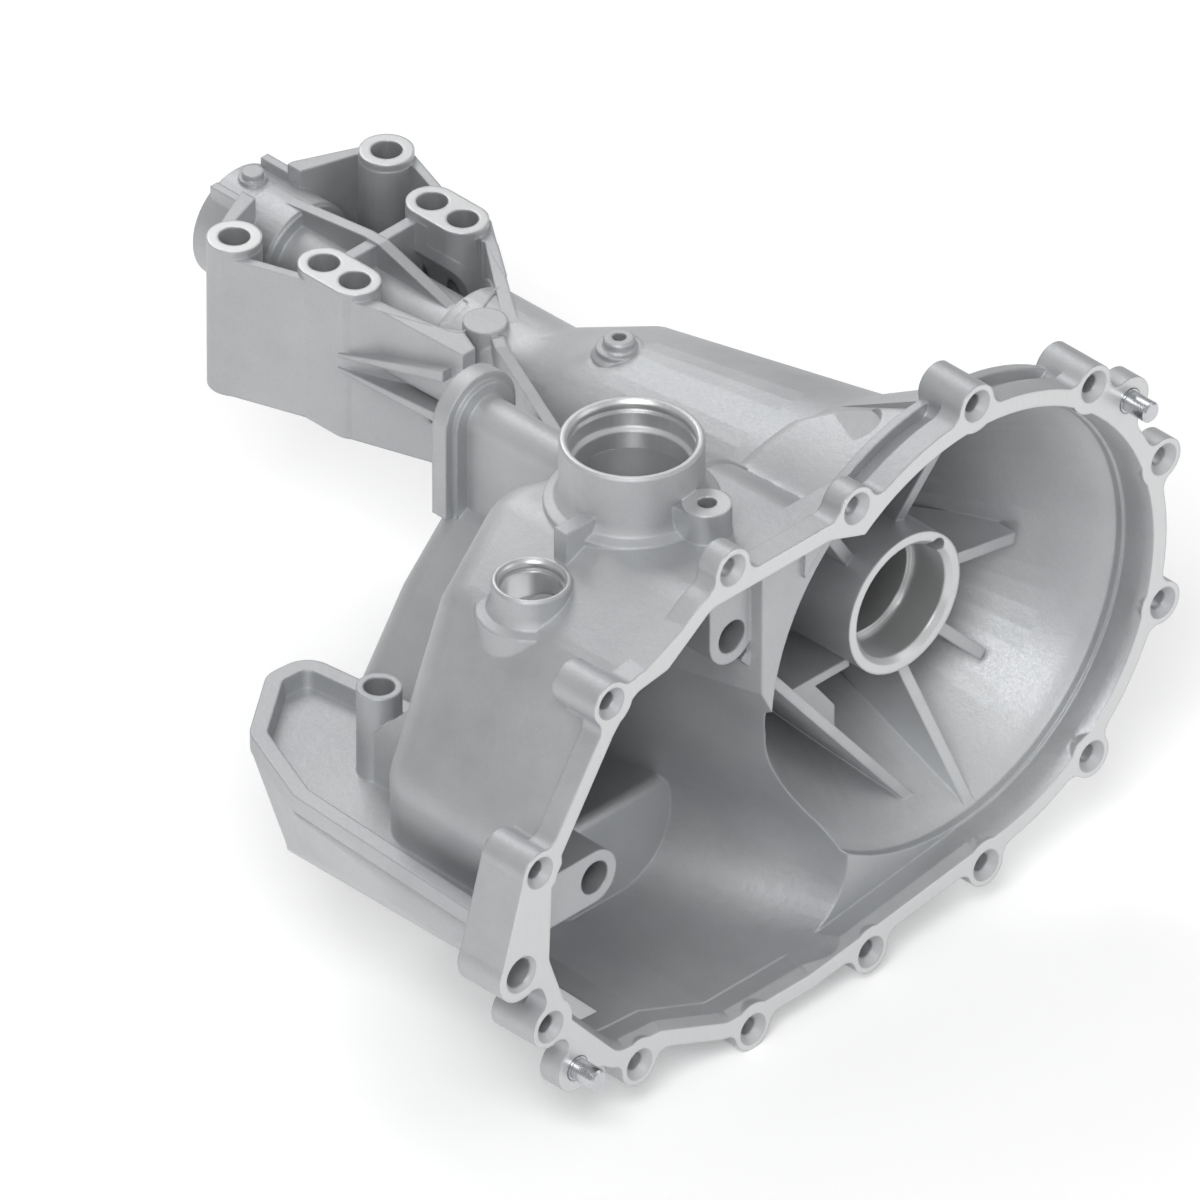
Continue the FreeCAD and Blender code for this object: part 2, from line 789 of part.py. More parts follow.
def collar(name, x, y, top, radius, height, reach):
    """Round collar with a flared foot, turned about a vertical axis and carried down into the body."""
    foot = f"{top} - {height}"
    return turned_up(name, x, y, [
        ("0", f"{top}"),
        (f"{radius} - 1", f"{top}"),
        (f"{radius}", f"{top} - 1"),
        (f"{radius}", foot),
        (f"{radius} + collar_flare * 0.3", f"{foot} - collar_flare * 0.7"),
        (f"{radius} + collar_flare", f"{foot} - collar_flare"),
        (f"{radius} + collar_flare", f"{foot} - {reach}"),
        ("0", f"{foot} - {reach}"),
    ])


def breather_cut():
    """Stepped bore under the large top collar, with a groove for a ring."""
    bore = "breather_bore_radius"
    seat = "breather_seat_radius"
    top = "breather_top"
    return turned_up("breather_cut", "breather_x", "breather_y", [
        ("0", f"{top} + 1"),
        (f"{seat} + 1", f"{top} + 1"),
        (f"{seat}", f"{top}"),
        (f"{seat} - 1.4", f"{top} - 1.6"),
        (f"{seat} - 1.4", f"{top} - 4"),
        (f"{seat} - 0.2", f"{top} - 4"),
        (f"{seat} - 0.2", f"{top} - 6.2"),
        (f"{seat} - 1.4", f"{top} - 6.2"),
        (f"{seat} - 1.4", f"{top} - 14"),
        (bore, f"{top} - 15.5"),
        (bore, "breather_floor"),
        ("0", "breather_floor"),
    ])


def sensor_cut():
    """Bore of the small top collar, with a chamfered mouth and a narrow groove."""
    bore = "sensor_bore_radius"
    top = "sensor_top"
    return turned_up("sensor_cut", "sensor_x", "sensor_y", [
        ("0", f"{top} + 1"),
        (f"{bore} + 3", f"{top} + 1"),
        (f"{bore} + 2", f"{top}"),
        (f"{bore} + 0.6", f"{top} - 2"),
        (f"{bore} + 0.6", f"{top} - 4"),
        (f"{bore} + 1.6", f"{top} - 4"),
        (f"{bore} + 1.6", f"{top} - 6"),
        (f"{bore}", f"{top} - 6"),
        (bore, "20"),
        ("0", "20"),
    ])


def top_fittings():
    """Collars, clamp boss, vent nipple and gusset on top of the casting."""
    parts = [
        collar("breather_collar", "breather_x", "breather_y", "breather_top", "breather_radius",
               "breather_collar", "40"),
        collar("sensor_collar", "sensor_x", "sensor_y", "sensor_top", "sensor_radius",
               "sensor_collar * 0.6", "30"),
        cylinder("clamp_boss", "clamp_radius", "clamp_top - 90", ("clamp_x", "clamp_y", "90"), "up"),
        box("clamp_link", ("breather_x + 20", "clamp_y - clamp_radius", "90"),
            ("clamp_x - breather_x - 20", "2 * clamp_radius - 3", "clamp_top - 92")),
        box("gusset", ("breather_x + 1", "sensor_y + sensor_radius", "70"),
            ("gusset_thickness", "breather_y - breather_radius - sensor_y - sensor_radius + 4",
             "gusset_top - 70")),
        turned_up("nipple", "nipple_x", "nipple_y", [
            ("0", "nipple_top"),
            ("nipple_neck_radius - 1", "nipple_top"),
            ("nipple_neck_radius", "nipple_top - 1"),
            ("nipple_neck_radius", "nipple_top - 4"),
            ("nipple_neck_radius + 1", "nipple_top - 5"),
            ("nipple_radius", "nipple_top - 5"),
            ("nipple_radius", "nipple_top - 7.5"),
            ("nipple_radius + 2", "nipple_top - 9.5"),
            ("nipple_radius + 2", "nipple_top - 24"),
            ("0", "nipple_top - 24"),
        ]),
    ]
    return parts


def shift_rail():
    """Rail boss behind the shoulder: a round-topped bar that ends in an arched plate."""
    def arch(name, level, radius, depth):
        outline = sketch(f"{name}_foot", "face", level, [
            (f"rail_y - ({radius})", "rail_z"),
            (f"rail_y - ({radius})", "rail_plate_foot"),
            (f"rail_y + ({radius})", "rail_plate_foot"),
            (f"rail_y + ({radius})", "rail_z"),
        ])
        foot = extrusion(f"{name}_web", outline, BACK, depth)
        head = cylinder(f"{name}_head", radius, depth, (level, "rail_y", "rail_z"), "back")
        return [foot, head]
    bar = arch("rail_bar", "-shoulder_depth + 30", "rail_radius", "rail_end_depth - shoulder_depth + 30")
    step = arch("rail_step", "-rail_end_depth + 3", "rail_plate_radius - 4", "5")
    plate = arch("rail_plate", "-rail_end_depth", "rail_plate_radius", "rail_plate_thickness")
    return bar + step + plate


def side_web(name, y, thickness, points):
    """Upright web along the shaft, drawn from its side."""
    outline = sketch(f"{name}_outline", "side", f"{y} + {thickness} / 2", points)
    return extrusion(name, outline, Vector(0, -1, 0), thickness)


def outer_ribs():
    """Webs and gussets on the outside."""
    hook = side_web("hook_rib", "hook_y", "hook_thickness", [
        ("filler_x", "sump_lip_z - sump_tray_depth - 2"),
        ("filler_x", "-4"),
        ("-108", "36"),
        ("-96", "41"),
        ("-84", "40"),
        ("-38", "24"),
        ("-38", "0"),
        ("-84", "sump_lip_z - sump_tray_depth - 2"),
    ])
    fin = sketch("fin_outline", "side", "0", [
        ("0", "34"),
        ("12", "36"),
        ("172", "100"),
        ("172", "40"),
        ("60", "20"),
        ("0", "20"),
    ])
    fin_web = extrusion("fin_web", fin, Vector(0, 1, 0), "6")
    fin_web.Placement = FreeCAD.Placement(Vector(-292, -18, 0), FreeCAD.Rotation(Vector(0, 0, 1), -36))
    return [hook, fin_web]


def filler():
    """Oil filler boss that stands in the sump tray."""
    return cylinder("filler_boss", "filler_radius", "filler_top - sump_lip_z + sump_tray_depth + 2",
                    ("filler_x", "filler_y", "sump_lip_z - sump_tray_depth - 2"), "up")


def tail_box():
    """Mounting box round the neck: walls with a boss at each hole, open on top."""
    plan = sketch("tail_plan_corners", "plan", "box_floor_z", [
        ("single_pad_x - single_boss_radius + 3", "single_pad_y + single_boss_radius - 6"),
        ("single_pad_x", "single_pad_y + single_boss_radius"),
        ("double_pad_rear_x", "double_pad_y + double_boss_radius"),
        ("double_pad_front_x", "double_pad_y + double_boss_radius"),
        ("double_pad_front_x + 40", "neck_radius - 8"),
        ("double_pad_front_x + 62", "-neck_radius + 8"),
        ("double_pad_front_x", "-double_pad_y - double_boss_radius"),
        ("double_pad_rear_x", "-double_pad_y - double_boss_radius"),
        ("single_pad_x", "-single_pad_y - single_boss_radius"),
        ("single_pad_x - single_boss_radius + 3", "-single_pad_y - single_boss_radius + 6"),
        ("single_pad_x - tail_radius", "-tail_radius * 0.57"),
        ("single_pad_x - tail_radius", "tail_radius * 0.57"),
    ])
    soft = rounded("tail_plan", plan, "5")
    return extrusion("tail_block", soft, UP, "pad_z - box_rim_drop - box_floor_z")


def pads():
    """Round bosses of the tail mount, six of them on one level."""
    solids = []
    for side, sign in (("left", "-"), ("right", "")):
        places = {
            "single": ("single_pad_x", "single_pad_y", "single_boss_radius"),
            "rear": ("double_pad_rear_x", "double_pad_y", "double_boss_radius"),
            "front": ("double_pad_front_x", "double_pad_y", "double_boss_radius"),
        }
        for name, (x, y, radius) in places.items():
            solids.append(cylinder(f"pad_{name}_{side}", radius, "pad_z - box_floor_z",
                                   (x, f"{sign}{y}", "box_floor_z"), "up"))
        link_side = f"{sign}double_pad_y - double_boss_radius"
        solids.append(box(f"pad_link_{side}", ("double_pad_rear_x", link_side, "box_floor_z"),
                          ("double_pad_front_x - double_pad_rear_x", "2 * double_boss_radius",
                           "pad_z - box_floor_z")))
    return solids


def tail_pockets():
    """Open pockets of the mounting box, between its walls and the neck."""
    tools = []
    for side, sign in (("left", "-"), ("right", "")):
        rear = sketch(f"rear_pocket_corners_{side}", "plan", "box_pocket_floor_z", [
            ("single_pad_x + single_boss_radius + 2", f"{sign}6"),
            ("spine_x - 6", f"{sign}6"),
            ("spine_x - 14", f"{sign}(double_pad_y + double_boss_radius - box_wall - 3)"),
            ("single_pad_x + single_boss_radius + 2", f"{sign}(single_pad_y + 2)"),
        ])
        front = sketch(f"front_pocket_corners_{side}", "plan", "box_pocket_floor_z", [
            ("spine_x + 6", f"{sign}6"),
            ("double_pad_front_x + 46", f"{sign}6"),
            ("double_pad_front_x + 46", f"{sign}18"),
            ("double_pad_front_x + double_boss_radius + 4", f"{sign}(double_pad_y - 2)"),
            ("spine_x + 6", f"{sign}(double_pad_y - double_boss_radius - 2)"),
        ])
        for name, corners in (("rear", rear), ("front", front)):
            soft = rounded(f"{name}_pocket_soft_{side}", corners, "3")
            tools.append(extrusion(f"{name}_pocket_{side}", soft, UP, "80"))
    return tools


def tail_spine():
    """Crossed ribs in the mounting box."""
    spine = sketch("spine_outline", "side", "spine_half_thickness", [
        ("-446", "20"),
        ("-446", "tail_radius"),
        ("spine_x - 4", "pad_z - 3"),
        ("spine_x + 4", "pad_z - 3"),
        ("-320", "neck_radius"),
        ("-320", "20"),
    ])
    along = extrusion("spine_along", spine, Vector(0, -1, 0), "2 * spine_half_thickness")
    across = box("spine_across", ("spine_x - spine_half_thickness", "-double_pad_y", "10"),
                 ("2 * spine_half_thickness", "2 * double_pad_y", "pad_z - 16"))
    return [along, across]


def hub():
    """Bearing tube round the shaft with ribs to the conical wall."""
    tube = cylinder("hub_tube", "hub_radius", "tunnel_floor_depth - hub_mouth_depth",
                    ("-hub_mouth_depth", "0", "0"), "back")
    return tube


def hub_ribs():
    """Radial ribs between the hub tube and the conical wall: angle, reach, and depths of tip and foot."""
    ribs = {
        "right": (-7.5, 84, 55, 72),
        "lower_right": (-46.5, 84, 50, 72),
        "down": (-79.8, 114, 20, 30),
        "upper_left": (128, 92, 40, 60),
        "top": (73, 90, 40, 62),
    }
    solids = []
    for name, (angle, reach, tip_depth, foot_depth) in ribs.items():
        outline = sketch(f"hub_rib_{name}_outline", "side", "hub_rib_thickness / 2", [
            ("-dish_floor_depth - 2", "hub_radius - 3"),
            ("-hub_rib_top_depth", "hub_radius - 3"),
            (f"-{tip_depth}", f"{reach}"),
            (f"-{foot_depth}", f"{reach}"),
            ("-dish_floor_depth - 2", "cone_end_radius - 10"),
        ])
        rib = extrusion(f"hub_rib_{name}", outline, Vector(0, -1, 0), "hub_rib_thickness")
        rib.Placement = FreeCAD.Placement(Vector(), FreeCAD.Rotation(Vector(1, 0, 0), angle - 90))
        solids.append(rib)
    return solids


def hub_web():
    """Web below the left of the hub, with a level top, that ties the hub to the long rib."""
    outline = sketch("hub_web_outline", "face", "-hub_web_depth", [
        ("-22", "hub_web_z"),
        ("-67", "hub_web_z"),
        ("-35", "-66.5"),
        ("-31.4", "-63.6"),
        ("-31.4", "-47.8"),
        ("-43.9", "hub_web_z - hub_web_thickness"),
        ("-22", "hub_web_z - hub_web_thickness"),
    ])
    return extrusion("hub_web", outline, BACK, "dish_floor_depth - hub_web_depth + 2")


def long_rib():
    """Straight rib from the roof lug past the hub, that runs out to a point on the conical wall."""
    run = Vector(0, read("long_rib_end_y - long_rib_start_y"), read("long_rib_end_z - long_rib_start_z"))
    length = "sqrt((long_rib_end_y - long_rib_start_y)^2 + (long_rib_end_z - long_rib_start_z)^2)"
    outline = sketch("long_rib_outline", "side", "long_rib_thickness / 2", [
        ("-long_rib_start_depth", "0"),
        ("-long_rib_end_depth", length),
        ("-hub_web_depth", f"{length} - 16"),
        ("-cone_end_depth - 5", "tunnel_front_radius + 33"),
        ("-cone_end_depth + 11", "cone_end_radius"),
        ("-long_rib_start_depth - lug_length", "0"),
    ])
    rib = extrusion("long_rib", outline, Vector(0, -1, 0), "long_rib_thickness")
    turn = FreeCAD.Rotation(Vector(1, 0, 0), Vector(0, run.z, -run.y), run, "ZXY")
    return place(rib, ("0", "long_rib_start_y", "long_rib_start_z"), turn)


def inner_lugs():
    """Two lugs inside the gear chamber, each a round head with a web to the wall beside it."""
    side = cylinder("side_lug_head", "lug_radius", "lug_length",
                    ("-lug_depth", "side_lug_y", "side_lug_z"), "back")
    side_web = box("side_lug_web", ("-lug_depth - lug_length", "mouth_side_y + 1", "side_lug_z - lug_radius"),
                   ("lug_length", "side_lug_y - mouth_side_y - 1", "2 * lug_radius"))
    roof = cylinder("roof_lug_head", "lug_radius", "lug_length",
                    ("-lug_depth", "roof_lug_y", "roof_lug_z"), "back")
    roof_web = box("roof_lug_web", ("-lug_depth - lug_length", "roof_lug_y - lug_radius", "roof_lug_z"),
                   ("lug_length", "2 * lug_radius", "mouth_roof_left_z - roof_lug_z"))
    return [side, side_web, roof, roof_web]


def face_holes():
    """Screw holes with countersinks, and pin holes, in the mating face."""
    tools = []
    for name in SCREWS:
        y, z = f"screw_{name}_y", f"screw_{name}_z"
        tools.append(cylinder(f"hole_{name}", "screw_hole_radius", "boss_depth + 4", ("1", y, z), "back"))
        tools.append(cone(f"sink_{name}", "countersink_radius + 1", "screw_hole_radius",
                          "countersink_radius + 1 - screw_hole_radius", ("1", y, z), "back"))
    y, z = "screw_large_y", "screw_large_z"
    tools.append(cylinder("hole_large", "large_hole_radius", "boss_depth + 4", ("1", y, z), "back"))
    tools.append(cone("sink_large", "large_countersink_radius + 1", "large_hole_radius",
                      "large_countersink_radius + 1 - large_hole_radius", ("1", y, z), "back"))
    for name in PINS:
        y, z = f"pin_{name}_y", f"pin_{name}_z"
        tools.append(cylinder(f"pin_hole_{name}", "pin_root_radius", "pin_length - pin_stand_out",
                              ("0", y, z), "back"))
        tools.append(cone(f"pin_mouth_{name}", "pin_mouth_radius + 1", "pin_root_radius",
                          "pin_mouth_radius + 1 - pin_root_radius", ("1", y, z), "back"))
    return tools


def relief():
    """Sloping relief along the mouth edge, left out beside each screw."""
    outline = united("relief_outline", mouth_parts("relief", "0"), "0.5")
    slope = extrusion("relief_slope", outline, BACK, "relief_depth", "-atan(mouth_setback / relief_depth)")
    lands = []
    for name in SCREWS:
        lands.append(cylinder(f"land_{name}", "boss_radius + 3", "relief_depth + 2",
                              ("1", f"screw_{name}_y", f"screw_{name}_z"), "back"))
    return cut("relief_pockets", slope, joined("relief_lands", lands))


def hub_bore():
    """Stepped bore of the hub with a chamfered mouth and an oil notch."""
    bore = revolution("hub_bore", [
        ("-hub_mouth_depth + 1", "0"),
        ("-hub_mouth_depth + 1", "hub_bore_radius + hub_chamfer + 1"),
        ("-hub_mouth_depth - hub_chamfer", "hub_bore_radius"),
        ("-hub_mouth_depth - hub_seat_depth", "hub_bore_radius"),
        ("-hub_mouth_depth - hub_seat_depth", "hub_bore_radius - hub_shoulder"),
        ("-tunnel_floor_depth - 1", "hub_bore_radius - hub_shoulder"),
        ("-tunnel_floor_depth - 1", "0"),
    ])
    notch = cylinder("hub_notch", "hub_notch_radius", "hub_seat_depth",
                     ("-hub_mouth_depth + 1", "hub_bore_radius * 0.72", "hub_bore_radius * 0.72"), "back")
    return [bore, notch]


def small_holes():
    """Holes of the pads, the clamp boss, the vent nipple, the filler and the inner lugs."""
    tools = [
        cylinder("side_lug_hole", "lug_hole_radius", "lug_length",
                 ("1 - lug_depth", "side_lug_y", "side_lug_z"), "back"),
        cylinder("roof_lug_hole", "lug_hole_radius", "lug_length",
                 ("1 - lug_depth", "roof_lug_y", "roof_lug_z"), "back"),
        cylinder("clamp_hole", "clamp_hole_radius", "30", ("clamp_x", "clamp_y", "clamp_top - 29"), "up"),
        cylinder("nipple_hole", "nipple_hole_radius", "40",
                 ("nipple_x", "nipple_y", "nipple_top - 39"), "up"),
        cylinder("filler_hole", "filler_hole_radius", "filler_hole_depth + 1",
                 ("filler_x", "filler_y", "filler_top - filler_hole_depth"), "up"),
    ]
    for sign, side in (("-", "left"), ("", "right")):
        for name, x, y in (("single", "single_pad_x", "single_pad_y"),
                           ("rear", "double_pad_rear_x", "double_pad_y"),
                           ("front", "double_pad_front_x", "double_pad_y")):
            tools.append(cylinder(f"pad_hole_{name}_{side}", "pad_hole_radius", "pad_z - box_floor_z + 2",
                                  (x, f"{sign}{y}", "box_floor_z - 1"), "up"))
    return tools


def casting():
    """The whole casting as one solid."""
    sump = cut("sump_with_tray", joined("sump_solid", [sump_body(), sump_lip()]), sump_tray())
    tail = cut("tail_with_pockets", tail_box(), joined("tail_pocket_tools", tail_pockets()))
    skin = [flange(), bosses(), tie_rib(), drum_and_tunnel(), shoulder_body(), rear_body(), sump, tail]
    skin += pads() + tail_spine() + top_fittings() + shift_rail() + outer_ribs() + [filler()]
    skin.append(cylinder("pad_disc", "disc_radius", "20", ("disc_x", "disc_y", "disc_z - 20"), "up"))
    outside = joined("outside", skin)
    hollows = [drum_hollow(), mouth_hollow(), chamber_hollow(), sump_hollow(), rear_hollow(), tunnel_hollow()]
    shell = cut("shell", outside, joined("hollows", hollows))
    inner = joined("with_inner_parts", [shell, hub(), hub_web(), long_rib()] + hub_ribs() + inner_lugs())
    tools = face_holes() + [relief(), breather_cut(), sensor_cut()] + hub_bore() + small_holes()
    return cut("housing_casting", inner, joined("machining", tools))


def pin(name):
    """Steel dowel pin, chamfered at both ends, thicker where it is pressed into the casting."""
    bar = revolution(f"{name}_dowel_pin", [
        ("pin_stand_out - pin_length", "0"),
        ("pin_stand_out - pin_length", "pin_root_radius - pin_chamfer"),
        ("pin_stand_out - pin_length + pin_chamfer", "pin_root_radius"),
        ("0", "pin_root_radius"),
        ("0", "pin_radius"),
        ("pin_stand_out - pin_chamfer", "pin_radius"),
        ("pin_stand_out", "pin_radius - pin_chamfer"),
        ("pin_stand_out", "0"),
    ])
    return bind(bar, Placement__Base__y=f"pin_{name}_y", Placement__Base__z=f"pin_{name}_z")


def write(nodes):
    """Check every feature and solid, then write each node to its own file."""
    doc.recompute()
    for feature in doc.Objects:
        if "Invalid" in feature.State or "Error" in feature.State:
            raise RuntimeError(f"{feature.Name} is {feature.State}")
    os.makedirs("parts", exist_ok=True)
    for node in nodes:
        node.Label = node.Name
        if node.Shape.isNull() or not node.Shape.isValid():
            raise RuntimeError(f"{node.Name} has no valid shape")
        node.Shape.exportStep(f"parts/{node.Name}.step")
        print(node.Name, len(node.Shape.Solids), "solids", round(node.Shape.Volume), "mm3")


def main():
    fill_sheet()
    write([casting()] + [pin(name) for name in PINS])


main()
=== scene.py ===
"""Looks of the gearbox housing: cast aluminium with machined faces, steel pins, pale studio."""
import math

import bmesh
import bpy
from mathutils import Matrix, Vector
from mathutils.bvhtree import BVHTree

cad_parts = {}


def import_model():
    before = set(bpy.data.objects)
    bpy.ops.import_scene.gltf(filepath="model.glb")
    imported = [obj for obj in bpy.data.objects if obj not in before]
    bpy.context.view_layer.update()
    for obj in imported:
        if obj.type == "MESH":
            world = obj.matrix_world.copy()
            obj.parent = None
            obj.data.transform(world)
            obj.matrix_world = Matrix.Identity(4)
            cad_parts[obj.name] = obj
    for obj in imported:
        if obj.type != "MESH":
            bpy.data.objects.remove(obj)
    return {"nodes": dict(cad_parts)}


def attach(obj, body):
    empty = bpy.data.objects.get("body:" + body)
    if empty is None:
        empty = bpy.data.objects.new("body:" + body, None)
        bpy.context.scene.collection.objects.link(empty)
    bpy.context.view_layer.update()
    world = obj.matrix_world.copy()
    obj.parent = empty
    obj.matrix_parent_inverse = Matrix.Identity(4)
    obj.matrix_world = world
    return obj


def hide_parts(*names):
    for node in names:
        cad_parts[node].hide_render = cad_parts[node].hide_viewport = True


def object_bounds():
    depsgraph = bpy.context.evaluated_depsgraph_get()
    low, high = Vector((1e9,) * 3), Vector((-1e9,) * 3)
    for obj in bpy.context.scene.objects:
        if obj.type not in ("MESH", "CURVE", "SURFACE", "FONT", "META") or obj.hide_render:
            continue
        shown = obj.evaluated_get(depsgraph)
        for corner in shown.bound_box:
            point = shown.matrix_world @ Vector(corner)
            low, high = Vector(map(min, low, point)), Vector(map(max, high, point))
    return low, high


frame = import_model()


def corners(bounds):
    """The two corners of a box as plain lists."""
    return [[float(value) for value in corner] for corner in bounds]


cad_box = corners(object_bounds())

# The photograph: an equal-angle view from the front, the chamber's side and above, in metres.
PHOTO_WIDTH = 0.54545
AIM_RIGHT = -0.16932
AIM_UP = 0.01914
LENS_MM = 1600
SENSOR_MM = 36
CLIP_END = 200
AZIMUTH = math.radians(45)
ELEVATION = math.radians(35.264)

# The studio, in metres and watts. Each lamp has its place, size and power.
FLOOR_HALF = 40.0
FLOOR_WHITE = (0.86, 0.86, 0.86, 1)
FLOOR_GLOW = 0.22
SKY_LIGHT = 0.45
SKY_SEEN = 0.55
LAMP_AIM = (-0.15, -0.08, 0)
LAMPS = {
    "key": ((1.4, -2.2, 2.6), 1.6, 78),
    "fill": ((2.6, 1.6, 1.2), 2.0, 20),
    "back": ((-2.4, 0.8, 2.2), 1.6, 30),
}

# Machined places of the casting, in metres. Each collar has its X, Y, outer reach and top.
FACE_TOLERANCE = 0.0006
SQUARE_ON = 0.98
PAD_TOP = 0.0385
PAD_FRONT = -0.34
BREATHER = (-0.084, -0.135, 0.0336, 0.139)
SENSOR = (-0.0787, -0.2045, 0.0188, 0.098)
CLAMP = (-0.041, -0.130, 0.0117, 0.122)
COLLAR_WALL = 0.003
COLLAR_BORE_MIDDLE = 0.012
COLLAR_BORE_HALF = 0.0125
HUB_MOUTH = -0.0434
HUB_RADIUS = 0.036
HUB_BORE_REACH = 0.0318
HUB_BORE_MIDDLE = -0.08
HUB_BORE_HALF = 0.0367

# Colours of the two metals.
SKIN_DARK = (0.43, 0.44, 0.455, 1)
SKIN_PALE = (0.56, 0.57, 0.58, 1)
SKIN_SPECK = (0.33, 0.34, 0.35, 1)
CUT_DARK = (0.58, 0.585, 0.59, 1)
CUT_PALE = (0.66, 0.665, 0.67, 1)
STEEL_DARK = (0.50, 0.51, 0.53, 1)
STEEL_PALE = (0.62, 0.63, 0.65, 1)

# Shading of the casting: coplanar faces are joined, and sharper edges stay hard.
SHARP_ANGLE = math.radians(28)
FLAT_ANGLE = math.radians(0.2)
ROUND_FACE_CORNERS = 4
MERGE = 2e-6
MESH_MERGE = 1e-6

# From here on sizes are in millimetres, in the frame of the solids. MM turns them into metres.
MM = 0.001
ROUND_STEPS = 64

# Tail mount: rim, pocket floor, and the tube between the neck and the rear end.
RIM_Z = 34.5
POCKET_FLOOR_Z = -20
NECK_END_X = -322
NECK_RADIUS = 34.5
TUBE_RADIUS = 21
TUBE_BORE = 15.5
TAIL_STEP_X = -431
TAIL_RADIUS = 28
SHOULDER_LENGTH = 6
SHOULDER_OVERLAP = 1.5
SHOULDER_INSET = 1
TUBE_OVERLAP = 3

# A cut stops this far from a solid that stays, so that no two faces coincide.
KEPT_FILM = 0.2

# Round pads that stand in the open tail mount, as X, Y and radius, and the disc boss before them.
SINGLE_PAD = (-427.3, 49.2, 12.9)
REAR_PAD = (-383.3, 34.9, 12.2)
FRONT_PAD = (-363.3, 34.9, 12.2)
PAD_HOLE_REACH = 7.6
DISC = (-300.4, -13.2, 10.35)

# Far ends of the cuts, well outside the casting.
CUT_TOP = 60
CUT_LOW = -50
KEPT_TOP = 70
KEPT_LOW = -30
KEPT_FRONT_X = -270
KEPT_REAR_X = -480
TUBE_CUT_REAR_X = -500
BORE_PAST_END = 5
BORE_CLEARANCE = 2

# Outlines of the tail mount seen from above, as X and Y.
INSIDE = [(-447, 14), (-437, 45), (-424, 56), (-382, 42), (-362, 42), (-299, -4), (-303, -10),
          (-304, -25), (-313, -31), (-335, -34.5), (-349, -36), (-362, -42), (-382, -42), (-424, -56),
          (-437, -45), (-447, -14)]
REAR_GAP = [(-460, -17), (-460, 13), (-440, 13), (-440, -17)]
RIGHT_CORNER = [(-357.2, 47.4), (-288, -2.5), (-288, 40), (-330, 60), (-352, 56)]
RIGHT_WALL = [(-360, 48), (-357, 47), (-291, -1), (-296, -6), (-355, 39), (-357, 42.5)]
LEFT_WALL = [(-359, -46.5), (-349.8, -40), (-290, -38), (-290, -30), (-304, -24), (-313, -29.5),
             (-335, -33), (-349, -34.5)]
LEFT_WALL_FOOT_Z = 2
RIGHT_WALL_FOOT_Z = POCKET_FLOOR_Z - 5

# Crossed ribs: the long one in X and Z along the tube, the short one in X and Y across it.
CROSS_X = -384.7
CROSS_HALF = 5
RIB_HALF = 3
ARM_REACH = 36
ARM_DROP = 1.5
SPINE = [(-446, 12), (-446, 27.4), (CROSS_X - CROSS_HALF, RIM_Z), (CROSS_X + CROSS_HALF, RIM_Z),
         (-331, 19.5), (-318, 31), (-318, 12)]

# Ribs along the left wall, each with the corners of its rear and of its front end.
SIDE_RIB = ([(-362, -44, 2.4), (-362, -47.3, 2.4), (-362, -47.3, 4.4), (-362, -44, 4.4)],
            [(-297, -30, 18.8), (-297, -44, 18.8), (-297, -44, 25), (-297, -30, 25)])
LOWER_RIB = ([(-362, -44, -5.2), (-362, -47.3, -5.2), (-362, -47.3, -3.2), (-362, -44, -3.2)],
             [(-290, -24, -5.7), (-290, -44, -5.7), (-290, -44, 0), (-290, -24, 0)])

# Two clips and a stepped nipple on the rear end: ranges along X, Y and Z, and radii.
CLIP_X = (-474, -455)
CLIP_Y = (14, 18.5)
CLIP_Z = (18, 28.5)
NIPPLE_X = -465
NIPPLE_STEPS = ((6.6, 24, 29.2), (5.1, 26, 32.5))

# Drum's shoulder: the patch that is reshaped, and the grid step in it.
BULGE_STEP = 1.25
BULGE_FRONT = -14
BULGE_CUT_FRONT = -29
BULGE_REAR = -104
BULGE_LEFT = -94
BULGE_RIGHT = 6
BULGE_SKY = 140

# Crest radius of the shoulder along X, its rear edge X along Y, and the roll down to that edge.
CREST = [(-14, 119.3), (-48, 115.4), (-75, 112), (-104, 109)]
REAR_EDGE = [(6, -24), (-2, -36), (-11, -52), (-23, -71), (-37, -85), (-56, -91), (-94, -97)]
BULGE_ROLL = 16
REAR_SLOPE = 1.6

# Radius of drum and tunnel along X, as the solids have it, and how the new skin meets it.
DRUM_SKIN = [(-12, 122.7), (-20, 122.7), (-28, 112.5), (-97, 79.7), (-170, 66)]
SKIN_FILM = 0.4
SKIN_SINK = 1.5
SKIN_DEPTH = 3.5
LEAST_SQUARE = 1.0

# Valley between the flat roof of the gear chamber and the shoulder.
VALLEY_BEND = 0.022
VALLEY_BLEND = 4.0
VALLEY_FILL = 0.4
ROOF_REAR_X = -90
ROOF_REAR_FALL = 0.25
ROOF_PROBE_X = -30
ROOF_PROBE_Z = 150

# Shallow recess on top of the shoulder, as X, Y and radius, and its floor.
RECESS = (-50.5, -27.5, 13.5)
RECESS_FLOOR_Z = 110.2


def add_mesh(name, vertices, faces):
    """A closed mesh object from points in millimetres."""
    mesh = bpy.data.meshes.new(name)
    mesh.from_pydata([Vector(point) * MM for point in vertices], [], faces)
    work = bmesh.new()
    work.from_mesh(mesh)
    bmesh.ops.recalc_face_normals(work, faces=work.faces)
    work.to_mesh(mesh)
    work.free()
    made = bpy.data.objects.new(name, mesh)
    bpy.context.scene.collection.objects.link(made)
    return made


def bar(name, rear, front):
    """A bar between two end outlines with as many corners each."""
    count = len(rear)
    sides = [(i, (i + 1) % count, count + (i + 1) % count, count + i) for i in range(count)]
    caps = [tuple(range(count)), tuple(range(2 * count - 1, count - 1, -1))]
    return add_mesh(name, rear + front, sides + caps)


